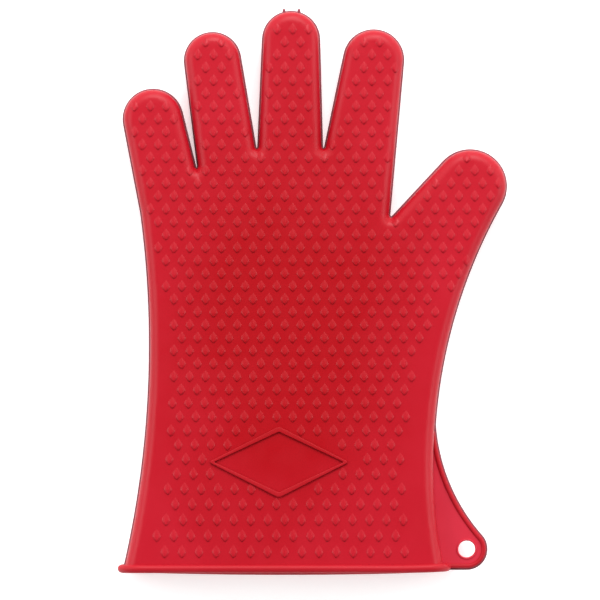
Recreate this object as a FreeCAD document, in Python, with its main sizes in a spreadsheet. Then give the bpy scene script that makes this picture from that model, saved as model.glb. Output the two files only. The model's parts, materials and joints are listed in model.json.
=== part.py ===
import FreeCAD, Part
import math
import os
import Sketcher

# Heat resistant glove: one silicone skin of even thickness, moulded flat.
# X runs across the hand (thumb at +X), Y from the cuff to the fingertips, Z up.
# The back of the glove lies on Z = 0, and the gripping side faces up.
# The origin is under the middle of the glove.

doc = FreeCAD.newDocument("glove")
sheet = doc.addObject("Spreadsheet::Sheet", "Sizes")

# Driving sizes in mm and degrees. Plan positions are drawn for the pattern sizes
# and follow the glove sizes when those change.
SIZES = {
    "glove_width": 185.0,
    "glove_length": 270.0,
    "pattern_width": 185.0,
    "pattern_length": 270.0,
    "mouth_thickness": 26.0,
    "tip_thickness": 17.0,
    "tip_y": 135.0,
    "wall": 1.5,
    "finger_edge_radius": 7.8,
    "palm_edge_radius": 8.6,
    # palm outline, from the mouth's left corner round to its right corner
    "mouth_left_x": -89.8,
    "mouth_right_x": 62.8,
    "mouth_y": -130.0,
    "side_left_radius": 468.0,
    "side_right_radius": 250.0,
    "little_corner_x": -82.2,
    "little_corner_y": 38.0,
    "ring_web_x": -26.5,
    "ring_web_y": 62.6,
    "index_web_x": 5.0,
    "index_web_y": 65.2,
    "thumb_web_x": 36.0,
    "thumb_web_y": 35.4,
    "palm_inner_x": 46.0,
    "thumb_inner_x": 6.0,
    # fingers: root point, root half width, root to tip centre, tip radius, lean
    "index_x": 18.4,
    "index_y": 39.5,
    "index_root": 18.8,
    "index_length": 72.0,
    "index_tip": 14.6,
    "index_lean": 8.5,
    "index_root_fold": 37.0,
    "index_mid_fold": 57.0,
    "middle_x": -10.9,
    "middle_y": 45.2,
    "middle_root": 16.5,
    "middle_length": 75.0,
    "middle_tip": 13.9,
    "middle_lean": 0.5,
    "middle_root_fold": 33.5,
    "middle_mid_fold": 55.5,
    "ring_x": -37.1,
    "ring_y": 39.1,
    "ring_root": 15.2,
    "ring_length": 72.0,
    "ring_tip": 13.7,
    "ring_lean": -8.4,
    "ring_root_fold": 35.0,
    "ring_mid_fold": 54.0,
    "little_x": -65.1,
    "little_y": 33.7,
    "little_root": 15.8,
    "little_length": 50.0,
    "little_tip": 14.5,
    "little_lean": -12.5,
    "little_root_fold": 26.5,
    "little_mid_fold": 42.5,
    # thumb: centre and radius of its tip, the lean of its axis, its inner edge
    "thumb_x": 74.9,
    "thumb_y": 50.6,
    "thumb_tip": 17.6,
    "thumb_lean": 32.9,
    "thumb_edge_x": 15.9,
    "thumb_edge_y": 12.9,
    "thumb_mid_fold": 9.0,
    # folds: middle point, direction and half length of the soft part
    "wrist_y": -52.0,
    "wrist_half": 6.0,
    "knuckle_x": -22.3,
    "knuckle_y": 35.5,
    "knuckle_turn": 10.0,
    "knuckle_half": 6.0,
    "thumb_fold_x": 40.6,
    "thumb_fold_y": 38.3,
    "thumb_fold_turn": -54.5,
    "finger_half": 5.0,
    "fold_gap": 0.3,
    # where the gap between index finger and thumb opens, seen along the knuckle fold
    "fork_x": 61.0,
    "fork_spread": 0.46,
    # cuff bead, hang tab, diamond rib and vent nibs
    "bead_length": 5.0,
    "bead_side": 2.7,
    "bead_rise": 1.6,
    "bead_round": 1.5,
    "hole_x": 73.2,
    "hole_y": -121.9,
    "hole_radius": 4.0,
    "tab_radius": 10.3,
    "tab_curve": 88.6,
    "tab_top_x": 59.4,
    "tab_top_y": -67.0,
    "tab_inner_x": 55.0,
    "tab_rim": 2.3,
    "tab_web_thick": 2.0,
    "tab_rim_thick": 3.8,
    "rib_x": -16.0,
    "rib_y": -80.2,
    "rib_wide": 66.4,
    "rib_tall": 33.7,
    "rib_width": 1.9,
    "rib_height": 0.9,
    "rib_corner": 2.0,
    "nib_radius": 0.95,
    "nib_rise": 0.9,
    "nib_left_x": -13.6,
    "nib_right_x": -6.5,
}
for row, (name, value) in enumerate(SIZES.items(), start=1):
    sheet.set(f"A{row}", name)
    sheet.set(f"B{row}", str(value))
    sheet.setAlias(f"B{row}", name)
doc.recompute()

ACROSS = "Sizes.glove_width / Sizes.pattern_width"
ALONG = "Sizes.glove_length / Sizes.pattern_length"
REACH = 300.0  # larger than half of any glove
TALL = 60.0  # taller than the glove is thick


def size(name):
    """A size from the sheet."""
    return float(sheet.get(name))


def plain(name, walls=0.0):
    """A size as (number, expression), moved by so many wall thicknesses."""
    return (size(name) + walls * size("wall"), f"Sizes.{name} + {walls} * Sizes.wall")


def across(name, walls=0.0):
    """A size across the glove, which follows the glove's width."""
    share = size("glove_width") / size("pattern_width")
    number = size(name) * share + walls * size("wall")
    return (number, f"Sizes.{name} * {ACROSS} + {walls} * Sizes.wall")


def along(name, walls=0.0):
    """A size along the glove, which follows the glove's length."""
    share = size("glove_length") / size("pattern_length")
    number = size(name) * share + walls * size("wall")
    return (number, f"Sizes.{name} * {ALONG} + {walls} * Sizes.wall")


def origin_plane(body, role):
    """One of a body's own origin planes."""
    for feature in body.Origin.OriginFeatures:
        if feature.Role == role:
            return feature
    raise RuntimeError("no plane " + role)


def new_body(name):
    body = doc.addObject("PartDesign::Body", name)
    body.Label = name
    return body


def new_sketch(body, name, role="XY_Plane"):
    sketch = body.newObject("Sketcher::SketchObject", name)
    sketch.AttachmentSupport = [(origin_plane(body, role), "")]
    sketch.MapMode = "FlatFace"
    return sketch


def hold(sketch, kind, place, value):
    """Adds one dimension whose size comes from the sheet."""
    number, expression = value
    index = sketch.addConstraint(Sketcher.Constraint(kind, *place, number))
    sketch.setExpression(f"Constraints[{index}]", expression)


def fix_point(sketch, edge, end, x, y):
    """Places one end of a sketch edge by its distances from the origin."""
    hold(sketch, "DistanceX", (-1, 1, edge, end), x)
    hold(sketch, "DistanceY", (-1, 1, edge, end), y)


def draw_polygon(sketch, points, first=0):
    """A closed polygon, each corner placed by sizes from the sheet."""
    corners = [FreeCAD.Vector(x[0], y[0], 0) for x, y in points]
    count = len(corners)
    for i in range(count):
        sketch.addGeometry(Part.LineSegment(corners[i], corners[(i + 1) % count]))
    for i in range(count):
        last = first + (i - 1) % count
        sketch.addConstraint(Sketcher.Constraint("Coincident", last, 2, first + i, 1))
        fix_point(sketch, first + i, 1, *points[i])


def pad(body, sketch, name, length, symmetric=False):
    feature = body.newObject("PartDesign::Pad", name)
    feature.Profile = sketch
    feature.Length = length[0]
    feature.setExpression("Length", length[1])
    feature.SideType = "Symmetric" if symmetric else "One side"
    return feature


def place(item, x, y, z, turn="0"):
    """Binds an object's place, and its turn about Z, to sizes from the sheet."""
    item.Placement = FreeCAD.Placement(
        FreeCAD.Vector(0, 0, 0), FreeCAD.Rotation(FreeCAD.Vector(0, 0, 1), 1)
    )
    item.setExpression(".Placement.Base.x", x)
    item.setExpression(".Placement.Base.y", y)
    item.setExpression(".Placement.Base.z", z)
    item.setExpression(".Placement.Rotation.Angle", turn)


def side_slab(name, low, high):
    """A slab as wide as the glove, seen from the side. low and high are pairs of
    heights at the mouth and at the fingertips: (number, expression)."""
    body = new_body(name)
    sketch = new_sketch(body, name + "_side", "YZ_Plane")
    start = (-REACH, f"-{REACH}")
    end = (REACH, f"{REACH}")
    draw_polygon(sketch, [(start, low[0]), (end, low[1]), (end, high[1]), (start, high[0])])
    pad(body, sketch, name + "_pad", (2 * REACH, f"{2 * REACH}"), symmetric=True)
    return body


# The top of the glove is one slope, from the mouth down to the fingertips.
MOUTH_Y = f"(Sizes.mouth_y * {ALONG})"
END_Y = f"(Sizes.tip_y * {ALONG})"
SLOPE = f"((Sizes.tip_thickness - Sizes.mouth_thickness) / ({END_Y} - {MOUTH_Y}))"


def slope():
    run = along("tip_y")[0] - along("mouth_y")[0]
    return (size("tip_thickness") - size("mouth_thickness")) / run


def top(y, walls=0.0, share=1.0):
    """Height of the top at y, times a share of it, moved by wall thicknesses."""
    number = size("mouth_thickness") + (y - along("mouth_y")[0]) * slope()
    words = f"(Sizes.mouth_thickness + ({y} - {MOUTH_Y}) * {SLOPE}) * {share}"
    return (number * share + walls * size("wall"), f"{words} + {walls} * Sizes.wall")


FLOOR = (0.0, "0 * Sizes.wall")
FAR = (TALL, f"{TALL}")
DEEP = (-TALL, f"-{TALL}")
INSIDE = (size("wall"), "Sizes.wall")
outer_slab = side_slab("outer_slab", (FLOOR, FLOOR), (top(-REACH), top(REACH)))
inner_slab = side_slab("inner_slab", (INSIDE, INSIDE), (top(-REACH, -1), top(REACH, -1)))
upper_half = side_slab("upper_half", (top(-REACH, 0, 0.5), top(REACH, 0, 0.5)), (FAR, FAR))
lower_half = side_slab("lower_half", (DEEP, DEEP), (top(-REACH, 0, 0.5), top(REACH, 0, 0.5)))
doc.recompute()


def common(name, base, tool):
    both = doc.addObject("Part::Common", name)
    both.Base = base
    both.Tool = tool
    return both


def cut(name, base, tool):
    rest = doc.addObject("Part::Cut", name)
    rest.Base = base
    rest.Tool = tool
    return rest


def fuse(name, shapes):
    joined = doc.addObject("Part::MultiFuse", name)
    joined.Shapes = shapes
    joined.Refine = True
    return joined


def rounded(name, solid, radius, wanted):
    """Rounds the edges for which wanted(start, middle, end) is true."""
    doc.recompute()
    chosen = []
    for index, edge in enumerate(solid.Shape.Edges, start=1):
        low, high = edge.ParameterRange
        points = [edge.valueAt(low), edge.valueAt((low + high) / 2), edge.valueAt(high)]
        if wanted(*points):
            chosen.append((index, radius, radius))
    if not chosen:
        raise RuntimeError("no edges to round on " + name)
    item = doc.addObject("Part::Fillet", name)
    item.Base = solid
    item.Edges = chosen
    return item


def lies_flat(start, end):
    """True for an edge that isn't upright."""
    return math.hypot(start.x - end.x, start.y - end.y) > 0.01


def digit_plan(name, digit, walls):
    """A finger seen from above, in its own frame: root on the X axis, tip at +Y."""
    body = new_body(name)
    sketch = new_sketch(body, name + "_plan")
    root = across(digit + "_root", -walls)
    length = along(digit + "_length")
    tip = across(digit + "_tip", -walls)
    # where the straight sides meet the round tip
    lean = math.asin((root[0] - tip[0]) / length[0])
    x = tip[0] * math.cos(lean)
    y = length[0] + tip[0] * math.sin(lean)
    right = FreeCAD.Vector(x, y, 0)
    left = FreeCAD.Vector(-x, y, 0)
    end = FreeCAD.Vector(0, length[0] + tip[0], 0)
    corner_l = FreeCAD.Vector(-root[0], 0, 0)
    corner_r = FreeCAD.Vector(root[0], 0, 0)
    sketch.addGeometry(Part.LineSegment(corner_l, corner_r))
    sketch.addGeometry(Part.LineSegment(corner_r, right))
    sketch.addGeometry(Part.Arc(right, end, left))
    sketch.addGeometry(Part.LineSegment(left, corner_l))
    sketch.addConstraint(Sketcher.Constraint("Coincident", 0, 2, 1, 1))
    sketch.addConstraint(Sketcher.Constraint("Coincident", 3, 2, 0, 1))
    sketch.addConstraint(Sketcher.Constraint("Tangent", 1, 2, 2, 1))
    sketch.addConstraint(Sketcher.Constraint("Tangent", 2, 2, 3, 1))
    sketch.addConstraint(Sketcher.Constraint("Horizontal", 0))
    sketch.addConstraint(Sketcher.Constraint("Symmetric", 0, 1, 0, 2, -1, 1))
    hold(sketch, "DistanceX", (0, 1, 0, 2), (2 * root[0], f"2 * ({root[1]})"))
    hold(sketch, "Radius", (2,), tip)
    sketch.addConstraint(Sketcher.Constraint("PointOnObject", 2, 3, -2))
    hold(sketch, "DistanceY", (-1, 1, 2, 3), length)
    pad(body, sketch, name + "_pad", (TALL, f"{TALL}"))
    place(
        body,
        f"Sizes.{digit}_x * {ACROSS}",
        f"Sizes.{digit}_y * {ALONG}",
        "-5",
        f"-Sizes.{digit}_lean",
    )
    return body


def digit_solid(digit, kind, walls, slab, radius):
    """A finger with rounded edges, open at its root."""
    plan = digit_plan(f"{digit}_{kind}_plan", digit, walls)
    flat = common(f"{digit}_{kind}_flat", plan, slab)
    doc.recompute()
    frame = plan.Placement.inverse()

    def beyond_root(*points):
        away = any(frame.multVec(p).y > 0.01 for p in points)
        return away and lies_flat(points[0], points[2])

    return rounded(f"{digit}_{kind}", flat, radius, beyond_root)


FINGERS = ["index", "middle", "ring", "little"]
outer = {}
inner = {}
for digit in FINGERS:
    radius = size("finger_edge_radius")
    outer[digit] = digit_solid(digit, "outer", 0, outer_slab, radius)
    inner[digit] = digit_solid(digit, "inner", 1, inner_slab, radius - size("wall"))
doc.recompute()


def palm_plan(name, walls):
    """The palm and cuff seen from above: the little finger's side and the webs."""
    body = new_body(name)
    sketch = new_sketch(body, name + "_plan")
    mouth = along("mouth_y", -walls)
    points = [
        (across("mouth_left_x", walls), mouth),
        (across("little_corner_x", walls), along("little_corner_y", -walls)),
        (across("ring_web_x"), along("ring_web_y", -1.1 * walls)),
        (across("index_web_x"), along("index_web_y", -1.1 * walls)),
        (across("thumb_web_x", -1.2 * walls), along("thumb_web_y", -0.6 * walls)),
        (across("palm_inner_x"), mouth),
    ]
    corners = [FreeCAD.Vector(x[0], y[0], 0) for x, y in points]
    radius = plain("side_left_radius", -walls)
    chord = corners[1] - corners[0]
    sag = radius[0] - math.sqrt(radius[0] ** 2 - (chord.Length / 2) ** 2)
    aside = FreeCAD.Vector(chord.y, -chord.x, 0).normalize() * sag
    sketch.addGeometry(Part.Arc(corners[0], (corners[0] + corners[1]) * 0.5 + aside, corners[1]))
    for i in range(1, 6):
        sketch.addGeometry(Part.LineSegment(corners[i], corners[(i + 1) % 6]))
    for i in range(6):
        sketch.addConstraint(Sketcher.Constraint("Coincident", i - 1 if i else 5, 2, i, 1))
        fix_point(sketch, i, 1, *points[i])
    hold(sketch, "Radius", (0,), radius)
    pad(body, sketch, name + "_pad", (TALL, f"{TALL}"))
    place(body, "0", "0", "-5")
    return body


def touch_outside(centre, radius, point, hollow, side):
    """A hollow curve of radius hollow from point, touching a circle from outside.
    Returns where they touch, the curve's middle and its centre. side picks one of
    the two curves there are."""
    span = point - centre
    far = hollow + radius
    cosine = (far**2 + span.Length**2 - hollow**2) / (2 * far * span.Length)
    aim = math.atan2(span.y, span.x) + side * math.acos(cosine)
    toward = FreeCAD.Vector(math.cos(aim), math.sin(aim), 0)
    touch = centre + toward * radius
    bow = centre + toward * far
    half = (touch + point) * 0.5 - bow
    return touch, bow + half.normalize() * hollow, toward


def thumb_plan(name, walls):
    """The thumb, the ball of the thumb and the wrist's thumb side seen from above."""
    body = new_body(name)
    sketch = new_sketch(body, name + "_plan")
    mouth = along("mouth_y", -walls)
    edge = (
        across("thumb_edge_x", 0.739 * walls),
        along("thumb_edge_y", -0.673 * walls),
    )
    inner = (across("thumb_inner_x"), mouth)
    corner = (across("mouth_right_x", -walls), mouth)
    centre = (across("thumb_x"), along("thumb_y"))
    tip = across("thumb_tip", -walls)
    side = plain("side_right_radius", walls)
    p_edge = FreeCAD.Vector(edge[0][0], edge[1][0], 0)
    p_inner = FreeCAD.Vector(inner[0][0], mouth[0], 0)
    p_corner = FreeCAD.Vector(corner[0][0], mouth[0], 0)
    c = FreeCAD.Vector(centre[0][0], centre[1][0], 0)
    # the straight inner edge touches the tip's circle
    gap = c - p_edge
    turn = math.atan2(gap.y, gap.x) + math.asin(tip[0] / gap.Length)
    run = math.sqrt(gap.Length**2 - tip[0] ** 2)
    left = p_edge + FreeCAD.Vector(math.cos(turn), math.sin(turn), 0) * run
    right, waist, toward = touch_outside(c, tip[0], p_corner, side[0], 1)
    middle = c + ((left - c).normalize() + toward).normalize() * tip[0]
    if (middle - c).dot(c - p_edge) < 0:
        middle = c - (middle - c)
    sketch.addGeometry(Part.LineSegment(p_inner, p_edge))
    sketch.addGeometry(Part.LineSegment(p_edge, left))
    sketch.addGeometry(Part.Arc(right, middle, left))
    sketch.addGeometry(Part.Arc(right, waist, p_corner))
    sketch.addGeometry(Part.LineSegment(p_corner, p_inner))
    sketch.addConstraint(Sketcher.Constraint("Coincident", 0, 2, 1, 1))
    sketch.addConstraint(Sketcher.Constraint("Tangent", 1, 2, 2, 2))
    sketch.addConstraint(Sketcher.Constraint("Tangent", 2, 1, 3, 1))
    sketch.addConstraint(Sketcher.Constraint("Coincident", 3, 2, 4, 1))
    sketch.addConstraint(Sketcher.Constraint("Coincident", 4, 2, 0, 1))
    fix_point(sketch, 0, 1, *inner)
    fix_point(sketch, 1, 1, *edge)
    fix_point(sketch, 2, 3, *centre)
    hold(sketch, "Radius", (2,), tip)
    hold(sketch, "Radius", (3,), side)
    fix_point(sketch, 4, 1, *corner)
    pad(body, sketch, name + "_pad", (TALL, f"{TALL}"))
    place(body, "0", "0", "-5")
    return body


def palm_solid(kind, plan, slab, radius):
    flat = common(f"{kind}_flat", plan, slab)
    doc.recompute()
    mouth = flat.Shape.BoundBox.YMin + 0.01

    def beyond_mouth(*points):
        return any(p.y > mouth for p in points) and lies_flat(points[0], points[2])

    return rounded(kind, flat, radius, beyond_mouth)


radius = size("palm_edge_radius")
outer["palm"] = palm_solid("palm_outer", palm_plan("palm_outer_plan", 0), outer_slab, radius)
outer["thumb"] = palm_solid("thumb_outer", thumb_plan("thumb_outer_plan", 0), outer_slab, radius)
radius = radius - size("wall")
inner["palm"] = palm_solid("palm_inner", palm_plan("palm_inner_plan", 1), inner_slab, radius)
inner["thumb"] = palm_solid("thumb_inner", thumb_plan("thumb_inner_plan", 1), inner_slab, radius)
doc.recompute()


# Soft folds, each across a hinge line. A frame gives the line's middle and direction.
def finger_frame(digit):
    return (
        f"Sizes.{digit}_x * {ACROSS}",
        f"Sizes.{digit}_y * {ALONG}",
        f"-Sizes.{digit}_lean",
    )


FRAMES = {digit: finger_frame(digit) for digit in FINGERS}
FRAMES["thumb"] = (
    f"Sizes.thumb_x * {ACROSS}",
    f"Sizes.thumb_y * {ALONG}",
    "-Sizes.thumb_lean",
)
FRAMES["knuckle"] = (
    f"Sizes.knuckle_x * {ACROSS}",
    f"Sizes.knuckle_y * {ALONG}",
    "Sizes.knuckle_turn",
)
FRAMES["ball"] = (
    f"Sizes.thumb_fold_x * {ACROSS}",
    f"Sizes.thumb_fold_y * {ALONG}",
    "Sizes.thumb_fold_turn",
)
FRAMES["glove"] = ("0", "0", "0")


def moved(value, step, sign=1):
    """A size moved by another size from the sheet."""
    return (value[0] + sign * size(step), f"{value[1]} + {sign} * Sizes.{step}")


def scaled(number):
    return (number, f"{number}")


def region(name, frame, low, high, left=None, right=None):
    """An upright block between the levels low and high in a frame. left and right
    give the side at each level, or the block is wider than the glove."""
    left = left or (scaled(-REACH), scaled(-REACH))
    right = right or (scaled(REACH), scaled(REACH))
    body = new_body(name)
    sketch = new_sketch(body, name + "_plan")
    draw_polygon(sketch, [(left[0], low), (right[0], low), (right[1], high), (left[1], high)])
    pad(body, sketch, name + "_pad", (TALL, f"{TALL}"))
    place(body, FRAMES[frame][0], FRAMES[frame][1], "-5", FRAMES[frame][2])
    return body


def halves(name, skin):
    """The gripping side and the back of a stretch of skin, split halfway up."""
    front = common(name + "_front", skin, upper_half)
    back = common(name + "_back", skin, lower_half)
    return [front, back]


nodes = []
stubs = []
START = scaled(-REACH)
END = scaled(REACH)
for digit in FINGERS:
    low = along(digit + "_root_fold")
    high = along(digit + "_mid_fold")
    fold_start = moved(low, "finger_half", -1)
    mid_start = moved(high, "finger_half", -1)
    lower_start = moved(low, "finger_half")
    tip_start = moved(high, "finger_half")
    stubs.append(
        common(f"{digit}_stub", outer[digit], region(f"{digit}_stub_region", digit, START, fold_start))
    )
    skin = cut(f"{digit}_skin", outer[digit], inner[digit])
    parts = {
        "root_fold": (fold_start, moved(lower_start, "fold_gap", -1)),
        "lower": (lower_start, mid_start),
        "mid_fold": (mid_start, moved(tip_start, "fold_gap", -1)),
        "tip": (tip_start, END),
    }
    for part, levels in parts.items():
        block = region(f"{digit}_{part}_region", digit, *levels)
        if part.endswith("fold"):
            nodes.append(common(f"{digit}_{part}", skin, block))
        else:
            ring = common(f"{digit}_{part}_ring", skin, block)
            nodes.extend(halves(f"{digit}_{part}", ring))

hand_outer = fuse("hand_outer", [outer["palm"], outer["thumb"], *stubs])
hand_inner = fuse("hand_inner", [inner[name] for name in ["palm", "thumb", *FINGERS]])
hand_skin = cut("hand_skin", hand_outer, hand_inner)


def fork(level):
    """The right side of the knuckle blocks, between the index finger and the thumb."""
    number = across("fork_x")[0] + size("fork_spread") * (level[0] + size("knuckle_half"))
    words = f"{across('fork_x')[1]} + Sizes.fork_spread * ({level[1]} + Sizes.knuckle_half)"
    return (number, words)


def knuckle_region(name, low, high):
    return region(name, "knuckle", low, high, None, (fork(low), fork(high)))


def ball_side(level):
    """The upper side of the thumb blocks, between the index finger and the thumb."""
    number = -0.6 * (level[0] + size("finger_half") + 0.5)
    return (number, f"-0.6 * ({level[1]} + Sizes.finger_half + 0.5)")


def ball_region(name, low, high):
    return region(name, "ball", low, high, (ball_side(low), ball_side(high)), None)


knuckle_low = (-size("knuckle_half"), "-Sizes.knuckle_half")
knuckle_high = (size("knuckle_half"), "Sizes.knuckle_half")
ball_low = (-size("finger_half"), "-Sizes.finger_half")
ball_high = (size("finger_half"), "Sizes.finger_half")
wrist_low = moved(along("wrist_y"), "wrist_half", -1)
wrist_high = moved(along("wrist_y"), "wrist_half")

# the strip of palm behind the finger roots, and the fold below it
knuckle_block = knuckle_region("knuckle_region", knuckle_high, END)
nodes.extend(halves("knuckles", common("knuckles_ring", hand_skin, knuckle_block)))
fold_block = knuckle_region("knuckle_fold_region", knuckle_low, moved(knuckle_high, "fold_gap", -1))
nodes.append(common("knuckle_fold", hand_skin, fold_block))

# the cuff, and the fold at the wrist
cuff_block = region("cuff_region", "glove", START, wrist_low)
nodes.extend(halves("cuff", common("cuff_ring", hand_skin, cuff_block)))
wrist_block = region("wrist_region", "glove", moved(wrist_low, "fold_gap"), wrist_high)
nodes.append(common("wrist_fold", hand_skin, wrist_block))

# the thumb: its ball turns on a slanting fold, and its tip on a fold across it
thumb_skin = cut("thumb_skin", outer["thumb"], inner["thumb"])
mid = (-along("thumb_mid_fold")[0], f"-{along('thumb_mid_fold')[1]}")
mid_start = moved(mid, "finger_half", -1)
tip_start = moved(mid, "finger_half")
ball_ring = common("ball_ring", thumb_skin, ball_region("ball_block", ball_high, END))
lower_block = region("thumb_lower_region", "thumb", START, mid_start)
nodes.extend(halves("thumb_lower", common("thumb_lower_ring", ball_ring, lower_block)))
tip_block = region("thumb_tip_region", "thumb", tip_start, END)
nodes.extend(halves("thumb_tip", common("thumb_tip_ring", thumb_skin, tip_block)))
mid_block = region("thumb_mid_region", "thumb", mid_start, moved(tip_start, "fold_gap", -1))
nodes.append(common("thumb_mid_fold", thumb_skin, mid_block))
fold_block = ball_region("thumb_root_region", ball_low, moved(ball_high, "fold_gap", -1))
nodes.append(common("thumb_root_fold", thumb_skin, fold_block))

# the palm is what is left between the three folds
above = knuckle_region("above_palm", knuckle_low, END)
beside = ball_region("beside_palm", ball_low, END)
below = region("below_palm", "glove", START, wrist_high)
palm_ring = cut("palm_ring", hand_skin, fuse("around_palm", [above, beside, below]))
nodes.extend(halves("palm", palm_ring))


# the rolled bead round the mouth, a little proud of the cuff
def mouth_box(name, start, end, side, low, high):
    box = doc.addObject("Part::Box", name)
    box.setExpression("Length", f"(Sizes.mouth_right_x - Sizes.mouth_left_x) * {ACROSS} + 2 * ({side})")
    box.setExpression("Width", f"{end} - ({start})")
    box.setExpression("Height", f"{high} - ({low})")
    place(box, f"Sizes.mouth_left_x * {ACROSS} - ({side})", f"{MOUTH_Y} + ({start})", low)
    return box


def runs_along(start, middle, end):
    return abs(start.y - end.y) > 1


bead_box = mouth_box(
    "bead_box", "-Sizes.bead_length", "0", "Sizes.bead_side", "0",
    "Sizes.mouth_thickness + Sizes.bead_rise",
)
bead_hole = mouth_box(
    "bead_hole", "-Sizes.bead_length - 1", "1", "-Sizes.wall", "Sizes.wall",
    "Sizes.mouth_thickness - Sizes.wall",
)
radius = size("palm_edge_radius")
bead_round = rounded("bead_round", bead_box, radius + size("bead_side") / 2, runs_along)
bead_open = rounded("bead_open", bead_hole, radius - size("wall"), runs_along)
bead_solid = rounded(
    "bead_solid", bead_round, size("bead_round"), lambda a, m, b: abs(a.y - b.y) < 0.01
)
bead = cut("bead", bead_solid, bead_open)
nodes.extend(halves("cuff_bead", bead))


# the diamond rib on the gripping side of the cuff
rib = new_body("rib_pad")
sketch = new_sketch(rib, "rib_plan")
HALF_WIDE = "Sizes.rib_wide / 2"
HALF_TALL = "Sizes.rib_tall / 2"
long_half = size("rib_wide") / 2
short_half = size("rib_tall") / 2
reach = long_half * short_half / math.hypot(long_half, short_half)
shrink = 1 - size("rib_width") / reach
INWARD = (
    f"(1 - Sizes.rib_width * sqrt(({HALF_WIDE})^2 + ({HALF_TALL})^2)"
    f" / (({HALF_WIDE}) * ({HALF_TALL})))"
)
for loop, (share, words) in enumerate([(1.0, "1"), (shrink, INWARD)]):
    wide = (long_half * share, f"{HALF_WIDE} * {words}")
    tall = (short_half * share, f"{HALF_TALL} * {words}")
    away = (-wide[0], f"-({wide[1]})")
    down = (-tall[0], f"-({tall[1]})")
    points = [(wide, FLOOR), (FLOOR, tall), (away, FLOOR), (FLOOR, down)]
    draw_polygon(sketch, points, 4 * loop)
pad(rib, sketch, "rib_height_pad", (size("rib_height"), "Sizes.rib_height"))
rib_y = f"Sizes.rib_y * {ALONG}"
place(rib, f"Sizes.rib_x * {ACROSS}", rib_y, top(0)[1].replace("(0 -", f"({rib_y} -"))
rib.Placement = FreeCAD.Placement(
    rib.Placement.Base, FreeCAD.Rotation(FreeCAD.Vector(1, 0, 0), math.degrees(math.atan(slope())))
)
rib.setExpression(".Placement.Rotation.Angle", f"atan({SLOPE})")


def upright_corner(start, middle, end):
    return math.hypot(start.x - end.x, start.y - end.y) < 0.5 * size("rib_height")


nodes.append(rounded("diamond_rib", rib, size("rib_corner"), upright_corner))


# the hang tab: a thin web with a round hole, inside a thicker rim
def tab_plan(name, thick, rim):
    """The tab seen from above, its outer edge moved inwards by rim widths."""
    body = new_body(name)
    sketch = new_sketch(body, name + "_plan")

    def shifted(value):
        return (value[0] - rim * size("tab_rim"), f"{value[1]} - {rim} * Sizes.tab_rim")

    inner_x = shifted(across("tab_inner_x"))
    start = (shifted(across("tab_top_x")), along("tab_top_y"))
    centre = (across("hole_x"), along("hole_y"))
    corner = shifted(plain("tab_radius"))
    curve = (size("tab_curve") + rim * size("tab_rim"), f"Sizes.tab_curve + {rim} * Sizes.tab_rim")
    p_inner = FreeCAD.Vector(inner_x[0], start[1][0], 0)
    p_start = FreeCAD.Vector(start[0][0], start[1][0], 0)
    c = FreeCAD.Vector(centre[0][0], centre[1][0], 0)
    bottom = c - FreeCAD.Vector(0, corner[0], 0)
    p_low = FreeCAD.Vector(inner_x[0], bottom.y, 0)
    touch, middle, toward = touch_outside(c, corner[0], p_start, curve[0], -1)
    turn = c + (toward + FreeCAD.Vector(1, -1, 0)).normalize() * corner[0]
    sketch.addGeometry(Part.LineSegment(p_inner, p_start))
    sketch.addGeometry(Part.Arc(p_start, middle, touch))
    sketch.addGeometry(Part.Arc(bottom, turn, touch))
    sketch.addGeometry(Part.LineSegment(bottom, p_low))
    sketch.addGeometry(Part.LineSegment(p_low, p_inner))
    sketch.addConstraint(Sketcher.Constraint("Coincident", 0, 2, 1, 1))
    sketch.addConstraint(Sketcher.Constraint("Tangent", 1, 2, 2, 2))
    sketch.addConstraint(Sketcher.Constraint("Tangent", 2, 1, 3, 1))
    sketch.addConstraint(Sketcher.Constraint("Coincident", 3, 2, 4, 1))
    sketch.addConstraint(Sketcher.Constraint("Coincident", 4, 2, 0, 1))
    sketch.addConstraint(Sketcher.Constraint("Horizontal", 3))
    sketch.addConstraint(Sketcher.Constraint("Vertical", 4))
    fix_point(sketch, 0, 1, inner_x, start[1])
    fix_point(sketch, 0, 2, *start)
    fix_point(sketch, 2, 3, *centre)
    hold(sketch, "Radius", (1,), curve)
    hold(sketch, "Radius", (2,), corner)
    pad(body, sketch, name + "_pad", (size(thick), f"Sizes.{thick}"), symmetric=True)
    middle_z = top(0, 0, 0.5)[1].replace("(0 -", f"(Sizes.hole_y * {ALONG} -")
    place(body, "0", "0", middle_z)
    return body


cuff_solid = fuse("cuff_solid", [outer["thumb"], bead_solid])
web_plate = tab_plan("web_plate", "tab_web_thick", 1.0)
hole = doc.addObject("Part::Cylinder", "hang_hole")
hole.setExpression("Radius", "Sizes.hole_radius")
hole.Height = TALL
place(hole, f"Sizes.hole_x * {ACROSS}", f"Sizes.hole_y * {ALONG}", "-5")
web_cut = cut("web_cut", web_plate, cuff_solid)
nodes.append(cut("hang_tab_web", web_cut, hole))
rim_plate = tab_plan("rim_plate", "tab_rim_thick", 0.0)
rim_core = tab_plan("rim_core", "tab_rim_thick", 1.0)
rim_band = cut("rim_band", rim_plate, rim_core)
nodes.append(cut("hang_tab_rim", rim_band, cuff_solid))

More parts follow.
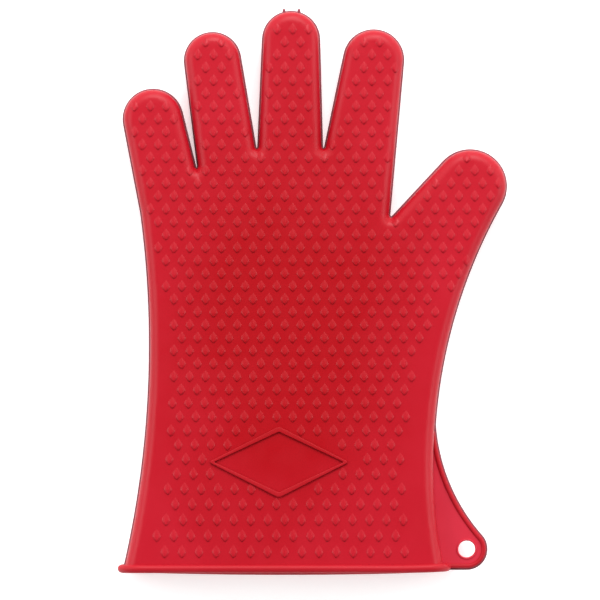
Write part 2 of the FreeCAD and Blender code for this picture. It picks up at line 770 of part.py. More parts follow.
# two short vent nibs on the end of the middle finger
for side in ["left", "right"]:
    nib = doc.addObject("Part::Cylinder", f"nib_{side}")
    nib.setExpression("Radius", "Sizes.nib_radius")
    nib.setExpression("Height", f"Sizes.middle_tip * {ACROSS}")
    nib.Placement = FreeCAD.Placement(
        FreeCAD.Vector(0, 0, 0), FreeCAD.Rotation(FreeCAD.Vector(1, 0, 0), -90)
    )
    nib.setExpression(".Placement.Base.x", f"Sizes.nib_{side}_x * {ACROSS}")
    finger_end = f"(Sizes.middle_y + Sizes.middle_length) * {ALONG}"
    nib.setExpression(".Placement.Base.y", f"{finger_end} + Sizes.nib_rise")
    nib.setExpression(".Placement.Base.z", "Sizes.tip_thickness / 2")
    nodes.append(cut(f"vent_nib_{side}", nib, outer["middle"]))

doc.recompute()
for item in doc.Objects:
    if "Invalid" in item.State or "Error" in item.State:
        raise RuntimeError(f"{item.Name} failed: {item.State}")
os.makedirs("parts", exist_ok=True)
for node in nodes:
    node.Label = node.Name
    shape = node.Shape
    if shape.isNull() or not shape.isValid() or not shape.Solids:
        raise RuntimeError(f"{node.Name} has no valid solid")
    shape.exportStep(f"parts/{node.Name}.step")
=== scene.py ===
import json
import math

import bmesh
import bpy
from bpy.props import FloatProperty, PointerProperty, StringProperty
from mathutils import Matrix, Vector, bvhtree, geometry, kdtree, noise

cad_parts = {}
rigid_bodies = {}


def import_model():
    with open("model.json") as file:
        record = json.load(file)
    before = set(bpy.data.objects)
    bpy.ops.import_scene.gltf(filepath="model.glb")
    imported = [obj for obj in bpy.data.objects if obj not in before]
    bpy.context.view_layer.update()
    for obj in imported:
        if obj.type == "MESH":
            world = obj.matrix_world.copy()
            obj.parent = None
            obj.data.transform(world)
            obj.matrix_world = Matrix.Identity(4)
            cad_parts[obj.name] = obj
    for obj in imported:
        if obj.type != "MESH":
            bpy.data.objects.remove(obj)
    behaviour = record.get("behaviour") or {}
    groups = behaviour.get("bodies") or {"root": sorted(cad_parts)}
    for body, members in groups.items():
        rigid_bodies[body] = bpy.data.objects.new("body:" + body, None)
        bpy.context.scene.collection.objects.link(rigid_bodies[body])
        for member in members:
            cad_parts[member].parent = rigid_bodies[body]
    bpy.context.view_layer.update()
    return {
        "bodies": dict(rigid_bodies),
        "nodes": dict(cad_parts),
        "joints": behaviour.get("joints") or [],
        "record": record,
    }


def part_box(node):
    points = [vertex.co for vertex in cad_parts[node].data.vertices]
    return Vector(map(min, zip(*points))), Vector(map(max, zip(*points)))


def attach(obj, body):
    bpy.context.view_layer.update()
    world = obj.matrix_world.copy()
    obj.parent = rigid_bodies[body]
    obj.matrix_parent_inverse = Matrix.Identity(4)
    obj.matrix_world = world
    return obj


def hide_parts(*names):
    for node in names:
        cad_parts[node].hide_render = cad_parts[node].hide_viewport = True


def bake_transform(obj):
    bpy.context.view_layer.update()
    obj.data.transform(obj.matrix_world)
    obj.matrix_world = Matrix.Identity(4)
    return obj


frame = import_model()

bl_info = {
    "name": "Heat resistant glove",
    "version": (1, 0, 0),
    "blender": (4, 5, 0),
    "location": "3D View > Sidebar > Glove",
    "description": "Builds a nubbed silicone oven glove around its packed frame",
    "category": "Object",
}

MM = 0.001
UP = Vector((0, 0, 1))
STOCK = 20.0  # mm, thickness at which the glove's plan is raised and rounded
OVERRUN = 20.0  # mm that the plan runs past the mouth before it is cut off there
MOUTH_SINK = 1.8  # mm of skin and lip past the mouth's line, inside the bead

# The plan of the glove in mm. The gripping side faces up, the fingers point to +Y.
MOUTH_Y = -130.0
MOUTH_LEFT = (-89.8, -130.0)
MOUTH_RIGHT = (62.8, -130.0)
LITTLE_SIDE = (-82.1, 38.0)  # where the little finger's side meets the palm's
SIDE_LEFT_RADIUS = 468.0
SIDE_RIGHT_CENTRE = (307.95, -80.9)  # centre of the hollow side under the thumb
# root point, half width at the root, root to tip centre, tip radius, lean to the
# right in degrees, and how far up the root fold and the middle fold lie
FINGERS = {
    "little": ((-65.1, 33.7), 15.8, 50.0, 14.5, -12.5, 26.5, 42.5),
    "ring": ((-37.1, 39.1), 15.2, 72.0, 13.7, -8.4, 35.0, 54.0),
    "middle": ((-10.9, 45.2), 16.5, 75.0, 13.9, 0.5, 33.5, 55.5),
    "index": ((18.4, 39.5), 18.8, 72.0, 14.6, 8.5, 37.0, 57.0),
}
THUMB_TIP = (74.9, 50.6)
THUMB_RADIUS = 17.6
THUMB_LEAN = 32.9
THUMB_EDGE = (15.9, 12.9)  # a point on the line of the thumb's inner edge
THUMB_FOLD = -9.0
THUMB_CUT = -18.0
BALL = (40.6, 38.3)  # on the fold between the palm and the thumb
BALL_TURN = -54.5
BALL_CUT = -6.9
FORK = (36.9, 35.6)  # bottom of the gap between index finger and thumb
FORK_TURN = -25.0
KNUCKLE = (-22.3, 35.5)
KNUCKLE_TURN = 10.0
WRIST_Y = -52.0
CUFF_CUT = -22.0

# The mouth's thickness and the fingertips', which set the slope of the gripping side.
MOUTH_THICK = 26.0
TIP_THICK = 17.0
TIP_Y = 135.0

RIB = (-16.0, -80.2, 66.4, 33.7)  # diamond rib: centre and overall width and height
TAB_START = (58.63, -62.9)  # where the tab's hollow side leaves the palm's
TAB_BOW = (147.4, -56.5)  # centre of the tab's hollow side
TAB_HOLE = (73.2, -121.9)
TAB_TUCK = 2.8  # how far the tab's web runs under the skin's edge
TAB_RIM_WIDTH = 2.3
HOLE_RADIUS = 4.0
COLLAR_RADIUS = 0.45  # of the thin ring round the hole's edge
COLLAR_REACH = 4.5  # from the hole's centre to that ring's

# How the skin is divided and drawn, in mm.
ROOT_CUT_BELOW_FOLD = 6.2  # a finger's own skin begins this far below its root fold
CROTCH_REACH = (3.4, 2.6, 2.8, 1.6)  # rounding of the gaps, little finger to thumb
SKIN_CORNERS = ((-92.0, MOUTH_Y), (94.0, 136.0))  # the area that mesh lines cover
LIP_THICK = 0.7
LIP_ROOT = 0.6  # depth of the lip's root in the skin
FINGER_MARGIN = 3.6  # from the glove's edge to a nub's middle, on the fingers
# the same on the cuff and palm: from y, up to y, margin there, margin from there on
LITTLE_SIDE_MARGIN = (-20.0, 35.0, 11.5, 5.0)
THUMB_SIDE_MARGIN = (-60.0, 30.0, 14.0, 6.5)
NUBS_FIRST_Y = -122.9
NUBS_LAST_Y = 133.0
NUBS_MIDDLE_X = -13.2
RIB_CLEAR = (4.4, 3.0)  # bare skin beside and beyond the diamond's corners


class GloveSizes(bpy.types.PropertyGroup):
    """Sizes of the visible skin, in metres."""

    wall: FloatProperty(
        name="Wall", description="Thickness of the silicone skin",
        default=0.0015, min=0.0005, unit="LENGTH")
    edge_radius: FloatProperty(
        name="Edge radius", description="Rounding of the glove's edges",
        default=0.0050, min=0.001, unit="LENGTH")
    mesh_step: FloatProperty(
        name="Mesh step", description="Spacing of the skin's mesh lines",
        default=0.003, min=0.001, unit="LENGTH")
    nub_width: FloatProperty(
        name="Nub width", description="Width of one gripping nub",
        default=0.0044, min=0.001, unit="LENGTH")
    nub_length: FloatProperty(
        name="Nub length", description="Length of one gripping nub",
        default=0.0064, min=0.001, unit="LENGTH")
    nub_height: FloatProperty(
        name="Nub height", description="Height of one gripping nub",
        default=0.00052, min=0.0001, unit="LENGTH")
    nub_pitch: FloatProperty(
        name="Nub pitch", description="Distance between nubs in a row on the palm",
        default=0.0075, min=0.002, unit="LENGTH")
    row_pitch: FloatProperty(
        name="Row pitch", description="Distance between rows of nubs on the palm",
        default=0.0061, min=0.002, unit="LENGTH")
    lip_width: FloatProperty(
        name="Lip width", description="How far the parting lip stands out",
        default=0.0008, min=0.0001, unit="LENGTH")
    bead_radius: FloatProperty(
        name="Bead radius", description="Radius of the rolled bead on the cuff",
        default=0.0020, min=0.0005, unit="LENGTH")
    rib_width: FloatProperty(
        name="Rib width", description="Width of the diamond rib",
        default=0.0025, min=0.0005, unit="LENGTH")
    rib_height: FloatProperty(
        name="Rib height", description="Height of the diamond rib",
        default=0.0011, min=0.0001, unit="LENGTH")


class GloveColours(bpy.types.PropertyGroup):
    """Colours of the silicone and the floor, as sRGB hex values."""

    skin: StringProperty(
        # the deep red colours the skin's darker clouds and also the painted shade
        # towards the palm's middle
        name="Skin", description="Red of the skin", default="#AF1223")
    skin_deep: StringProperty(
        name="Skin, deep", description="Red of the skin's darker clouds",
        default="#A0020F")
    trim: StringProperty(
        name="Trim", description="Red of the bead and the rims", default="#AD1020")
    # painted shade: the lip's dull mauve red stands in for the shadow along the glove's
    # edge
    lip: StringProperty(
        name="Parting lip", description="Dull red of the parting lip",
        default="#86434D")
    # painted light: the web's lighter, pinker red stands in for the floor's light
    # showing through the thin web
    web: StringProperty(
        name="Tab web", description="Red of the tab's thin web", default="#C62C3E")
    floor: StringProperty(
        name="Floor", description="Pale matt floor", default="#F6F5F5")


def linear(hex_colour):
    """A linear colour with alpha from an sRGB hex value."""
    parts = [int(hex_colour[i:i + 2], 16) / 255 for i in (1, 3, 5)]
    return [c / 12.92 if c <= 0.04045 else ((c + 0.055) / 1.055) ** 2.4
            for c in parts] + [1.0]


# ---------------------------------------------------------------- materials


def add_node(tree, kind, links=None, values=None, **settings):
    """Adds one node with its settings, its socket values and its incoming links."""
    item = tree.nodes.new(kind)
    for name, value in settings.items():
        setattr(item, name, value)
    for name, value in (values or {}).items():
        item.inputs[name].default_value = value
    for name, socket in (links or {}).items():
        tree.links.new(socket, item.inputs[name])
    return item


def moulded_silicone(name, colour, deep, roughness):
    """Silicone rubber moulded in a lightly blasted steel mould: a satin skin that
    blurs what it reflects, with soft clouds in its pigment, a fine grain, and
    painted shade that deepens its red towards the palm's middle."""
    material = bpy.data.materials.get(name) or bpy.data.materials.new(name)
    material.use_nodes = True
    tree = material.node_tree
    tree.nodes.clear()
    place = add_node(tree, "ShaderNodeTexCoord").outputs["Object"]
    # pigment clouds 35 mm across
    clouds = add_node(tree, "ShaderNodeTexNoise", {"Vector": place},
                      {"Scale": 1 / 0.035, "Detail": 3.0, "Roughness": 0.55})
    # painted shade: the palm's middle is drawn a deeper red, within 90 mm across
    # and 150 mm along, as shade falls there
    centred = add_node(tree, "ShaderNodeMapping", {"Vector": place},
                       {"Location": (0.111, 0.134, 0.0), "Scale": (11.1, 6.7, 6.7)})
    palm = add_node(tree, "ShaderNodeTexGradient", {"Vector": centred.outputs["Vector"]},
                    gradient_type="SPHERICAL")
    depth = add_node(tree, "ShaderNodeMapRange", {"Value": palm.outputs["Fac"]},
                     {"From Max": 0.75, "To Min": 0.5, "To Max": -0.55},
                     interpolation_type="SMOOTHSTEP")
    # the clouds' own tone and the palm's painted shade together set the mix of deep and
    # plain red
    share = add_node(tree, "ShaderNodeMath", {0: clouds.outputs["Fac"],
                                              1: depth.outputs["Result"]},
                     operation="ADD", use_clamp=True)
    blend = add_node(tree, "ShaderNodeMix", {"Factor": share.outputs["Value"]},
                     data_type="RGBA")
    blend.inputs["A"].default_value = linear(deep)
    blend.inputs["B"].default_value = linear(colour)
    # handling marks 9 mm across vary the gloss
    smears = add_node(tree, "ShaderNodeTexNoise", {"Vector": place},
                      {"Scale": 1 / 0.009, "Detail": 4.0, "Roughness": 0.6})
    gloss = add_node(tree, "ShaderNodeMapRange", {"Value": smears.outputs["Fac"]},
                     {"To Min": roughness - 0.05, "To Max": roughness + 0.07})
    # blasting grain, 0.1 mm in the mould, drawn at 0.6 mm so that it shows
    grain = add_node(tree, "ShaderNodeTexNoise", {"Vector": place},
                     {"Scale": 1 / 0.0006, "Detail": 2.0, "Roughness": 0.5})
    bump = add_node(tree, "ShaderNodeBump", {"Height": grain.outputs["Fac"]},
                    {"Strength": 0.25, "Distance": 0.00006})
    shader = add_node(
        tree, "ShaderNodeBsdfPrincipled",
        {"Base Color": blend.outputs["Result"], "Roughness": gloss.outputs["Result"],
         "Normal": bump.outputs["Normal"]},
        {"IOR": 1.41, "Specular IOR Level": 0.3})
    add_node(tree, "ShaderNodeOutputMaterial", {"Surface": shader.outputs["BSDF"]})
    return material


def matt_floor(name, colour):
    """Matt opal acrylic, lit a little from below: no gloss, a faint tooth 1.5 mm
    across."""
    material = bpy.data.materials.new(name)
    material.use_nodes = True
    tree = material.node_tree
    tree.nodes.clear()
    place = add_node(tree, "ShaderNodeTexCoord").outputs["Object"]
    tooth = add_node(tree, "ShaderNodeTexNoise", {"Vector": place},
                     {"Scale": 1 / 0.0015, "Detail": 2.0})
    bump = add_node(tree, "ShaderNodeBump", {"Height": tooth.outputs["Fac"]},
                    {"Strength": 0.05, "Distance": 0.0001})
    shader = add_node(
        tree, "ShaderNodeBsdfPrincipled", {"Normal": bump.outputs["Normal"]},
        {"Base Color": linear(colour), "Roughness": 0.9, "Specular IOR Level": 0.1,
         "Emission Strength": 0.45, "Emission Color": linear("#FFFFFF")})
    add_node(tree, "ShaderNodeOutputMaterial", {"Surface": shader.outputs["BSDF"]})
    return material


def silicones():
    """The glove's silicones: skin, trim, parting lip and tab web."""
    colours = bpy.context.scene.glove_colours
    return {
        "skin": moulded_silicone("red_silicone_skin", colours.skin, colours.skin_deep,
                                 roughness=0.40),
        "trim": moulded_silicone("red_silicone_trim", colours.trim, colours.skin_deep,
                                 roughness=0.50),
        # painted shade: the lip's dull red draws the shadowed line along the glove's
        # edge
        "lip": moulded_silicone("lip_silicone_painted_edge_shade", colours.lip, colours.lip,
                                roughness=0.55),
        # painted light: the lighter, pinker red stands in for the floor's light showing
        # through the thin web
        "web": moulded_silicone("thin_web_silicone_painted_glow", colours.web, colours.trim,
                                roughness=0.42),
    }


# ---------------------------------------------------------------- places on the glove


def at(x, y, z=0.0):
    """A point from millimetres."""
    return Vector((x, y, z)) * MM


def local_frame(origin, lean):
    """The frame at a plan point, its Y axis leaning to the right by so many degrees."""
    return Matrix.Translation(at(*origin)) @ Matrix.Rotation(-math.radians(lean), 4, "Z")


FINGER_FRAMES = {n: local_frame(f[0], f[4]) for n, f in FINGERS.items()}
THUMB_FRAME = local_frame(THUMB_TIP, THUMB_LEAN)
BALL_FRAME = local_frame(BALL, -BALL_TURN)
FORK_FRAME = local_frame(FORK, -FORK_TURN)
KNUCKLE_FRAME = local_frame(KNUCKLE, -KNUCKLE_TURN)
WRIST_FRAME = local_frame((0.0, WRIST_Y), 0.0)


def root_cut(finger):
    """How far up the finger its skin begins, in mm."""
    return FINGERS[finger][5] - ROOT_CUT_BELOW_FOLD


def middle_cut(finger):
    """How far up the finger its lower skin ends, in mm."""
    return (FINGERS[finger][5] + FINGERS[finger][6]) / 2


def within(frame, point):
    """The point in a frame, in millimetres."""
    return frame.inverted() @ point / MM


def finger_at(point):
    """The finger whose outer part holds the point, or None. It looks 3 mm below the
    root cut and 1.2 mm beside the finger, so that its edges count as its own."""
    for name, (_, half, reach, tip, _, _, _) in FINGERS.items():
        spot = within(FINGER_FRAMES[name], point)
        width = half + (tip - half) * min(spot.y / reach, 1.0)
        if spot.y > root_cut(name) - 3 and abs(spot.x) < width + 1.2:
            return name
    return None


def on_thumb(point):
    """True on the thumb's side of the gap between thumb and index finger."""
    return within(FORK_FRAME, point).x > 0


def piece_at(point):
    """The name of the skin piece that holds the point."""
    finger = finger_at(point)
    if finger:
        height = within(FINGER_FRAMES[finger], point).y
        if height > root_cut(finger):
            return finger + ("_tip" if height > middle_cut(finger) else "_lower")
    if on_thumb(point) and within(BALL_FRAME, point).y > BALL_CUT:
        low = within(THUMB_FRAME, point).y < THUMB_CUT
        return "thumb_lower" if low else "thumb_tip"
    return "cuff" if point.y < CUFF_CUT * MM else "palm"


def blend_table():
    """For each skin piece: its two bodies, its frame, and how far up that frame the
    bend starts and ends, in mm. The ends keep just clear of the cuts."""
    table = {
        "cuff": ("palm", "cuff", WRIST_FRAME, 12.0, -12.0),
        "palm": ("palm", "knuckles", KNUCKLE_FRAME, -9.5, 14.0),
        "thumb_lower": ("palm", "thumb_lower", BALL_FRAME, -6.5, 11.0),
        "thumb_tip": ("thumb_lower", "thumb_tip", THUMB_FRAME, THUMB_CUT + 0.4,
                      2 * THUMB_FOLD - THUMB_CUT),
    }
    for name, frame_of in FINGER_FRAMES.items():
        fold = FINGERS[name][6]
        middle = middle_cut(name)
        table[name + "_lower"] = ("knuckles", name + "_lower", frame_of,
                                  root_cut(name) + 0.2, middle - 0.3)
        table[name + "_tip"] = (name + "_lower", name + "_tip", frame_of,
                                middle + 0.3, 2 * fold - middle)
    return table


BLENDS = blend_table()


def top_at(y):
    """Height of the gripping side's skin at y, in metres."""
    share = (y / MM - MOUTH_Y) / (TIP_Y - MOUTH_Y)
    return (MOUTH_THICK + share * (TIP_THICK - MOUTH_THICK)) * MM


def ripple(x, y):
    """Slight unevenness of the soft skin, in metres: waves 45 mm and 110 mm long."""
    slow = noise.noise(Vector((x, y, 0.0)) / 0.110)
    quick = noise.noise(Vector((x, y, 0.3)) / 0.045)
    return (0.45 * slow + 0.22 * quick) * MM


def seat(bm):
    """Gives a mesh drawn at the stock thickness the glove's sloping thickness."""
    base = bpy.context.scene.glove_sizes.nub_height
    for v in bm.verts:
        share = v.co.z / (STOCK * MM)
        room = top_at(v.co.y) - base
        v.co.z = base + share * room + share * ripple(v.co.x, v.co.y)


# ---------------------------------------------------------------- drawing helpers


class Pen:
    """Draws a line of edges in a bmesh: straight lines, and arcs by spinning."""

    def __init__(self, bm, x, y):
        self.bm = bm
        self.first = self.last = bm.verts.new(at(x, y))

    def line(self, x, y):
        corner = self.bm.verts.new(at(x, y))
        self.bm.edges.new((self.last, corner))
        self.last = corner
        return corner

    def arc(self, x, y, turn, step=1.6):
        """Turns about a centre by so many degrees, anticlockwise if positive."""
        centre = at(x, y)
        length = (self.last.co - centre).length * abs(math.radians(turn))
        steps = max(2, math.ceil(length / (step * MM)))
        made = bmesh.ops.spin(self.bm, geom=[self.last], cent=centre, axis=UP,
                              angle=math.radians(turn), steps=steps)
        self.last = made["geom_last"][0]

    def close(self):
        self.bm.edges.new((self.last, self.first))


def bearing(centre, point):
    """Direction from a plan centre to a plan point, in degrees."""
    return math.degrees(math.atan2(point[1] - centre[1], point[0] - centre[0]))


def finger_side(name, side):
    """The root end and the tip end of one side of a finger, in mm."""
    _, half, reach, tip, _, _, _ = FINGERS[name]
    slant = math.asin((half - tip) / reach)
    low = FINGER_FRAMES[name] @ at(side * half, 0)
    high = FINGER_FRAMES[name] @ at(side * tip * math.cos(slant),
                                    reach + tip * math.sin(slant))
    return low / MM, high / MM


def draw_glove(bm):
    """Draws the glove's outline, clockwise from the cuff, and rounds its crotches."""
    chord = Vector(LITTLE_SIDE) - Vector(MOUTH_LEFT)
    half_turn = math.degrees(math.asin(chord.length / 2 / SIDE_LEFT_RADIUS))
    rise = bearing(MOUTH_LEFT, LITTLE_SIDE)
    start = math.radians(rise - half_turn)
    ahead = Vector((math.cos(start), math.sin(start)))
    left = Vector((-ahead.y, ahead.x))
    centre = Vector(MOUTH_LEFT) + left * SIDE_LEFT_RADIUS
    pen = Pen(bm, *(Vector(MOUTH_LEFT) - ahead * OVERRUN))
    pen.line(*MOUTH_LEFT)
    pen.arc(*centre, 2 * half_turn, step=4.0)
    crotches = []
    names = list(FINGERS)
    for name, following in zip(names, names[1:] + [None]):
        tip_centre = FINGER_FRAMES[name] @ at(0, FINGERS[name][2]) / MM
        rising, falling = finger_side(name, -1), finger_side(name, 1)
        pen.line(rising[1].x, rising[1].y)
        sweep = bearing(tip_centre, rising[1]) - bearing(tip_centre, falling[1])
        pen.arc(tip_centre.x, tip_centre.y, -(sweep % 360))
        if following:
            other = finger_side(following, -1)
        else:
            gap = Vector(THUMB_TIP) - Vector(THUMB_EDGE)
            turn = math.atan2(gap.y, gap.x) + math.asin(THUMB_RADIUS / gap.length)
            run = math.sqrt(gap.length ** 2 - THUMB_RADIUS ** 2)
            touch = Vector(THUMB_EDGE) + run * Vector((math.cos(turn), math.sin(turn)))
            other = (Vector(THUMB_EDGE).to_3d(), touch.to_3d())
        crossing = geometry.intersect_line_line(*falling, *other)[0]
        crotches.append(pen.line(crossing.x, crossing.y))
    pen.line(other[1].x, other[1].y)
    side = Vector(SIDE_RIGHT_CENTRE)
    leave = bearing(side, THUMB_TIP)
    sweep = bearing(THUMB_TIP, other[1]) - bearing(THUMB_TIP, side)
    pen.arc(*THUMB_TIP, -(sweep % 360))
    pen.arc(*side, (bearing(side, MOUTH_RIGHT) - leave) % 360, step=3.0)
    down = (Vector(MOUTH_RIGHT) - side).normalized()
    pen.line(*(Vector(MOUTH_RIGHT) + Vector((-down.y, down.x)) * OVERRUN))
    pen.close()
    for corner, reach in zip(crotches, CROTCH_REACH):
        bmesh.ops.bevel(bm, geom=[corner], affect="VERTICES", offset=reach * MM,
                        segments=6, profile=0.5, material=-1)


def draw_tab(bm, closed):
    """Draws the hang tab's outer edge, and if closed the edge under the skin too."""
    pen = Pen(bm, *TAB_START)
    pen.arc(*TAB_BOW, (bearing(TAB_BOW, TAB_HOLE) - bearing(TAB_BOW, TAB_START)) % 360)
    pen.arc(*TAB_HOLE, -((bearing(TAB_HOLE, TAB_BOW) + 90) % 360), step=1.0)
    if not closed:
        pen.line(MOUTH_RIGHT[0], pen.last.co.y / MM)
        return
    side = Vector(SIDE_RIGHT_CENTRE)
    radius = (Vector(MOUTH_RIGHT) - side).length + TAB_TUCK

    def tucked(y):
        """The point under the skin's edge at y."""
        return side.x - math.sqrt(radius ** 2 - (y - side.y) ** 2), y

    low, high = tucked(pen.last.co.y / MM), tucked(TAB_START[1])
    pen.line(*low)
    pen.arc(*side, -((bearing(side, low) - bearing(side, high)) % 360))
    pen.close()


def everything(bm):
    """All of a mesh, as the cutting operators want it."""
    return bm.verts[:] + bm.edges[:] + bm.faces[:]


def corners_of(geom):
    """The vertices among what an operator made."""
    return [v for v in geom if isinstance(v, bmesh.types.BMVert)]


def thicken(bm, rise):
    """Raises the mesh's flat faces by a vector into a plate."""
    made = bmesh.ops.extrude_face_region(bm, geom=bm.faces[:], use_keep_orig=True)
    bmesh.ops.translate(bm, verts=corners_of(made["geom"]), vec=rise)
    bmesh.ops.recalc_face_normals(bm, faces=bm.faces[:])


def draw_lip(bm, width):
    """Makes an outline a lip: a strip LIP_THICK high, as deep as its width and root."""
    made = bmesh.ops.extrude_edge_only(bm, edges=bm.edges[:])
    bmesh.ops.translate(bm, verts=corners_of(made["geom"]), vec=UP * LIP_THICK * MM)
    bmesh.ops.recalc_face_normals(bm, faces=bm.faces[:])
    bmesh.ops.solidify(bm, geom=bm.faces[:], thickness=width + LIP_ROOT * MM)


def cut_line(bm, faces, origin, normal):
    """Cuts the given faces along a plane."""
    geom = set(faces)
    for f in faces:
        geom.update(f.edges)
        geom.update(f.verts)
    bmesh.ops.bisect_plane(bm, geom=list(geom), dist=1e-7, plane_co=origin,
                           plane_no=normal)


def cut_pieces(bm):
    """Cuts the mesh along the lines where its pieces meet."""

    def near(frame_of, height, reach):
        return [f for f in bm.faces
                if abs(within(frame_of, f.calc_center_median()).y - height) < reach]

    def across(frame_of, height, wanted):
        faces = [f for f in near(frame_of, height, 9.0)
                 if wanted(f.calc_center_median())]
        along = frame_of.to_3x3() @ Vector((0, 1, 0))
        cut_line(bm, faces, frame_of @ at(0, height), along)

    for name, frame_of in FINGER_FRAMES.items():
        for height in (root_cut(name), middle_cut(name)):
            across(frame_of, height, lambda p, n=name: finger_at(p) == n)
    fork = FORK_FRAME @ at(0, 0)
    faces = [f for f in bm.faces if (f.calc_center_median().xy - fork.xy).length < 9 * MM
             and not finger_at(f.calc_center_median())]
    cut_line(bm, faces, fork, FORK_FRAME.to_3x3() @ Vector((1, 0, 0)))
    across(BALL_FRAME, BALL_CUT, on_thumb)
    across(THUMB_FRAME, THUMB_CUT, on_thumb)
    across(WRIST_FRAME, CUFF_CUT - WRIST_Y, lambda p: True)


def finish_object(bm, name, material, smooth=True):
    """Makes a bmesh an object at the origin."""
    mesh = bpy.data.meshes.new(name)
    bm.to_mesh(mesh)
    bm.free()
    mesh.materials.append(material)
    for polygon in mesh.polygons:
        polygon.use_smooth = smooth
    item = bpy.data.objects.new(name, mesh)
    bpy.context.scene.collection.objects.link(item)
    return item


def bend_like_skin(item):
    """Bakes the piece's placement into its mesh; it is not bent here."""
    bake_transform(item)


def split_by_piece(bm, kind, material):
    """Makes one object of each skin piece's share of a mesh."""
    made = []
    labels = [piece_at(f.calc_center_median()) for f in bm.faces]
    for piece in BLENDS:
        part = bm.copy()
        part.faces.ensure_lookup_table()
        others = [f for f, label in zip(part.faces, labels) if label != piece]
        bmesh.ops.delete(part, geom=others, context="FACES")
        if not part.faces:
            part.free()
            continue
        made.append((piece, finish_object(part, f"{piece}_{kind}", material)))
    bm.free()
    return made


def mouth_cut(bm):
    """Cuts the mesh off inside the cuff's bead, leaving the mouth open."""
    bmesh.ops.bisect_plane(bm, geom=everything(bm), dist=1e-7, plane_no=(0, -1, 0),
                           plane_co=at(0, MOUTH_Y - MOUTH_SINK), clear_outer=True)


def surface_tree():
    """The glove's outer skin, for finding its height at a point."""
    bm = bmesh.new()
    for piece in BLENDS:
        bm.from_mesh(bpy.data.objects[piece + "_skin"].data)
    tree = bvhtree.BVHTree.FromBMesh(bm)
    bm.free()
    return tree


def drop(tree, co, below=False):
    """Height of the skin above or below a plan point, or None off the glove."""
    start = Vector((co.x, co.y, -1.0 if below else 1.0))
    hit = tree.ray_cast(start, UP if below else -UP)
    return hit[0].z if hit[0] else None


# ---------------------------------------------------------------- operators


class GLOVE_OT_stage(bpy.types.Operator):
    """Lays the pale floor and sets the soft lights and the camera"""

    bl_idname = "glove.stage"
    bl_label = "Stage"

    def execute(self, context):
        scene = context.scene
        bm = bmesh.new()
        bmesh.ops.create_grid(bm, x_segments=2, y_segments=2, size=3.0)
        finish_object(bm, "floor", matt_floor("opal_acrylic_floor",
                                                       scene.glove_colours.floor))
        # name, place, size, power in watts
        for name, place, size, power in (
            ("softbox_far", (0.15, 1.5, 1.5), 1.3, 35.0),
            ("softbox_left", (-1.5, 0.1, 1.2), 1.2, 11.0),
            ("softbox_right", (1.5, 0.1, 1.2), 1.2, 11.0),
            ("softbox_near", (0.0, -1.6, 1.3), 1.2, 2.5),
        ):
            light = bpy.data.lights.new(name, "AREA")
            light.shape = "DISK"
            light.size = size
            light.energy = power
            item = bpy.data.objects.new(name, light)
            item.location = place
            item.rotation_euler = (-Vector(place)).to_track_quat("-Z", "Y").to_euler()
            scene.collection.objects.link(item)
        world = bpy.data.worlds.new("soft_room")
        world.use_nodes = True
        background = world.node_tree.nodes["Background"]
        background.inputs["Color"].default_value = linear("#FFFFFF")
        # a white tent, open overhead, so that the flat skin doesn't glare
        tree = world.node_tree
        place = add_node(tree, "ShaderNodeTexCoord").outputs["Generated"]
        facing = add_node(tree, "ShaderNodeSeparateXYZ", {"Vector": place})
        tent = add_node(tree, "ShaderNodeMapRange", {"Value": facing.outputs["Z"]},
                        {"From Min": 0.55, "From Max": 0.93, "To Min": 1.3,
                         "To Max": 0.08}, interpolation_type="SMOOTHSTEP")
        # and dimmer at the cuff's end, so that the nubs' points stay dark
        near = add_node(tree, "ShaderNodeMapRange", {"Value": facing.outputs["Y"]},
                        {"From Min": -0.8, "From Max": 0.4, "To Min": 0.22,
                         "To Max": 1.15})
        glow = add_node(tree, "ShaderNodeMath", {0: tent.outputs["Result"],
                                                 1: near.outputs["Result"]},
                        operation="MULTIPLY")
        tree.links.new(glow.outputs["Value"], background.inputs["Strength"])
        scene.world = world
        scene.view_settings.view_transform = "Standard"
        # straight down from 2.2 m, taking in a square of 287 mm
        height, width = 2.2, 0.2868
        lens = bpy.data.cameras.new("camera")
        lens.lens = lens.sensor_width * height / width
        lens.clip_end = 20.0
        camera = bpy.data.objects.new("camera", lens)
        camera.location = (-0.006, -0.0036, height)
        scene.collection.objects.link(camera)
        scene.camera = camera
        return {"FINISHED"}


def nodes_under_skin():
    """The frame's nodes that each skin piece stands for."""
    nodes = {
        "cuff": ("cuff_front", "cuff_back", "wrist_fold"),
        "palm": ("palm_front", "palm_back", "knuckle_fold", "knuckles_front",
                 "knuckles_back"),
        "thumb_lower": ("thumb_root_fold", "thumb_lower_front", "thumb_lower_back"),
        "thumb_tip": ("thumb_mid_fold", "thumb_tip_front", "thumb_tip_back"),
    }
    for name in FINGERS:
        for part, fold in (("_lower", "_root_fold"), ("_tip", "_mid_fold")):
            nodes[name + part] = (name + fold, name + part + "_front",
                                  name + part + "_back")
    return nodes


